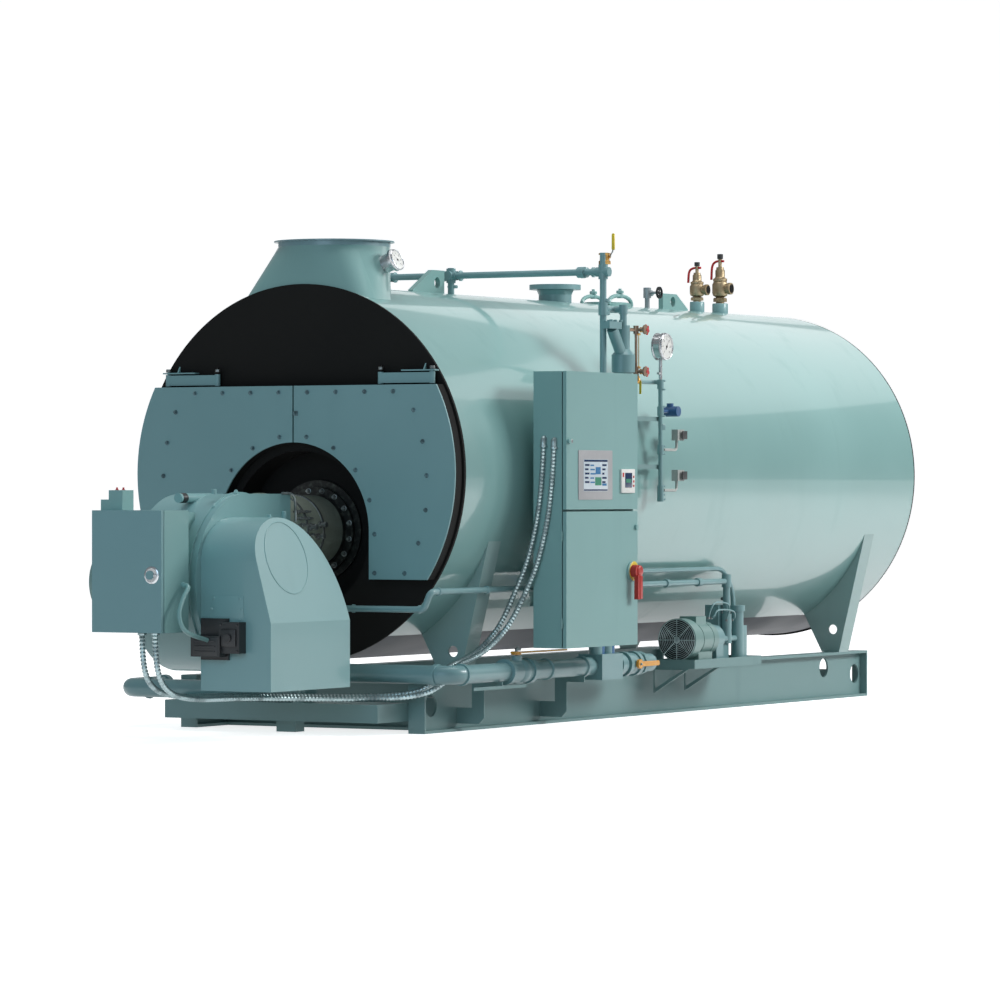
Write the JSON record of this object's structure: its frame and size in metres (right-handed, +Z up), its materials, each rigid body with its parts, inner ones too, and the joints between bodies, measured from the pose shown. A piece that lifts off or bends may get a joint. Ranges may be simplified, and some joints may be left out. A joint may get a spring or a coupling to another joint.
{
  "type": "industrial fire-tube boiler",
  "caption": "Packaged horizontal fire-tube steam boiler on a skid, with burner, hinged front doors, control cabinet, gas train and top fittings.",
  "frame": {"origin": "on the ground under the middle skid cross member, on the shell centre line", "axes": "+X from the burner end to the rear, +Y away from the control cabinet, +Z up"},
  "size_m": [8.195, 2.76, 3.131],
  "materials": {
    "shell_paint": "gloss enamel",
    "front_paint": "satin enamel",
    "black_paint": "matt heat paint",
    "skid_paint": "satin enamel",
    "pipe_paint": "satin enamel",
    "cabinet_paint": "powder coat",
    "burner_paint": "satin enamel",
    "cast_grey": "painted casting",
    "machined_steel": "brushed",
    "conduit_metal": "corrugated",
    "bronze": "cast bronze",
    "orange_grip": "dipped grip",
    "red_grip": "moulded",
    "gauge_metal": "polished",
    "gauge_glass_clear": "clear",
    "dark_plastic": "moulded",
    "motor_paint": "satin enamel"
  },
  "bodies": {
    "boiler": {"skid_rail_right": "skid_paint", "skid_rail_left": "skid_paint", "skid_cross_members": "skid_paint", "saddle_front": "skid_paint", "saddle_rear": "skid_paint", "vessel_shell": "black_paint", "jacket": "shell_paint", "front_plate": "black_paint", "rear_plate": "black_paint", "burner_recess": "black_paint", "davit_brackets": "front_paint", "burner_head": "burner_paint", "burner_volute": "burner_paint", "burner_air_inlet": "burner_paint", "burner_box": "front_paint", "burner_actuator": "dark_plastic", "burner_motor": "motor_paint", "burner_platform": "skid_paint", "stack_base": "shell_paint", "stack_collar": "machined_steel", "stack_thermometer": "gauge_metal", "lifting_lugs": "shell_paint", "steam_nozzle": "pipe_paint", "manway": "shell_paint", "vent_valve": "bronze", "safety_valves": "bronze", "column_pipes": "pipe_paint", "water_column": "cast_grey", "gauge_glass": "gauge_glass_clear", "pressure_gauge": "gauge_metal", "control_header": "pipe_paint", "header_instruments": "dark_plastic", "cabinet_body": "cabinet_paint", "side_brackets": "skid_paint", "cable_conduits": "conduit_metal", "gas_pipe": "pipe_paint", "gas_cross_pipe": "pipe_paint", "gas_inlet": "pipe_paint", "gas_valves": "cast_grey", "gas_shutoff_valve": "pipe_paint", "gas_brackets": "skid_paint", "air_line": "pipe_paint", "pump_tray": "skid_paint", "pump_motor": "motor_paint", "pump_unit": "pipe_paint"},
    "davit_right": {"davit_arm_right": "front_paint"},
    "door_right": {"door_right_body": "black_paint", "door_right_plate": "front_paint"},
    "davit_left": {"davit_arm_left": "front_paint"},
    "door_left": {"door_left_body": "black_paint", "door_left_plate": "front_paint"},
    "upper_door": {"cabinet_upper_door": "cabinet_paint"},
    "lower_door": {"cabinet_lower_door": "cabinet_paint"},
    "disconnect": {"disconnect_handle": "red_grip"},
    "box_door": {"burner_box_door": "front_paint"},
    "valve_lever": {"gas_lever": "orange_grip"},
    "second_valve_lever": {"gas_second_lever": "orange_grip"}
  },
  "joints": [
    {"name": "davit_right_swing", "type": "hinge", "parent": "boiler", "child": "davit_right", "pos_m": [-3.09, -0.946, 2.132], "axis": [0, 0, 1], "range_deg": [0, 105]},
    {"name": "door_right_turn", "type": "hinge", "parent": "davit_right", "child": "door_right", "pos_m": [-3.09, -0.585, 2.132], "axis": [0, 0, 1], "range_deg": [-105, 0]},
    {"name": "davit_left_swing", "type": "hinge", "parent": "boiler", "child": "davit_left", "pos_m": [-3.09, 0.946, 2.132], "axis": [0, 0, -1], "range_deg": [0, 105]},
    {"name": "door_left_turn", "type": "hinge", "parent": "davit_left", "child": "door_left", "pos_m": [-3.09, 0.585, 2.132], "axis": [0, 0, -1], "range_deg": [-105, 0]},
    {"name": "upper_door_hinge", "type": "hinge", "parent": "boiler", "child": "upper_door", "pos_m": [-1.415, -1.409, 1.76], "axis": [0, 0, 1], "range_deg": [0, 110]},
    {"name": "lower_door_hinge", "type": "hinge", "parent": "boiler", "child": "lower_door", "pos_m": [-2.34, -1.409, 0.915], "axis": [0, 0, -1], "range_deg": [0, 110]},
    {"name": "disconnect_turn", "type": "hinge", "parent": "lower_door", "child": "disconnect", "pos_m": [-1.503, -1.47, 0.957], "axis": [0, 1, 0], "range_deg": [0, 90]},
    {"name": "box_door_hinge", "type": "hinge", "parent": "boiler", "child": "box_door", "pos_m": [-4.898, 0.249, 0.9925], "axis": [0, 0, -1], "range_deg": [0, 110]},
    {"name": "gas_valve_turn", "type": "hinge", "parent": "boiler", "child": "valve_lever", "pos_m": [-2.352, -1.1, 0.471], "axis": [0, 0, -1], "range_deg": [0, 90]},
    {"name": "second_valve_turn", "type": "hinge", "parent": "boiler", "child": "second_valve_lever", "pos_m": [-0.93, -1.186, 0.358], "axis": [0, -1, 0], "range_deg": [0, 90]}
  ],
  "couplings": [
    {"joint": "door_right_turn", "follows": "davit_right_swing", "ratio": -1},
    {"joint": "door_left_turn", "follows": "davit_left_swing", "ratio": -1}
  ]
}
